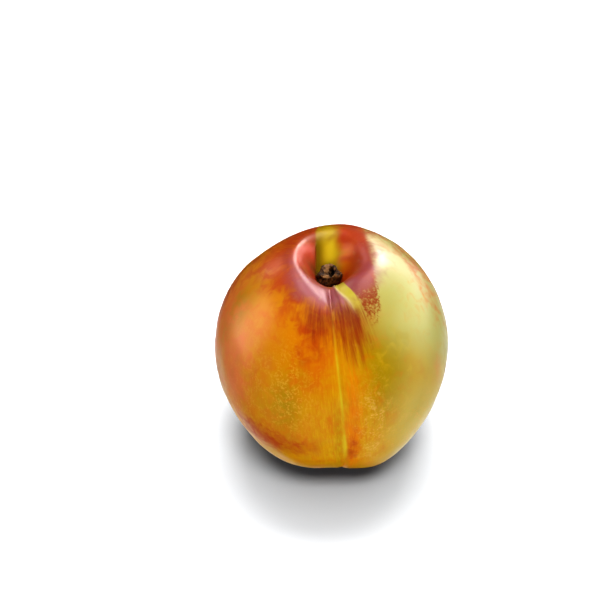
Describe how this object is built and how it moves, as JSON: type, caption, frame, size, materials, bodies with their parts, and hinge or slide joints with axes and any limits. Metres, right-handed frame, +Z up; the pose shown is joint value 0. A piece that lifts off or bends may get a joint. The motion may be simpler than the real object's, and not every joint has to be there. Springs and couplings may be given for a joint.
{
  "type": "nectarine",
  "caption": "Ripe nectarine standing on its blossom end, with a suture down the front and a woody stem stub in the cavity on top.",
  "frame": {"origin": "centre of the flat spot at the blossom end, which the fruit rests on", "axes": "+Z up along the stem's axis, -Y towards the suture, +X towards the cheek on the right of the suture"},
  "size_m": [0.068, 0.07, 0.0686],
  "materials": {
    "fruit_skin": "smooth waxy fruit skin, yellow to yellow-green with an orange-red blush and fine flecks",
    "dry_stem": "rough dry brown bark with a paler broken end"
  },
  "bodies": {
    "root": {"nectarine_fruit": "fruit_skin", "stem_stub": "dry_stem"}
  },
  "joints": []
}
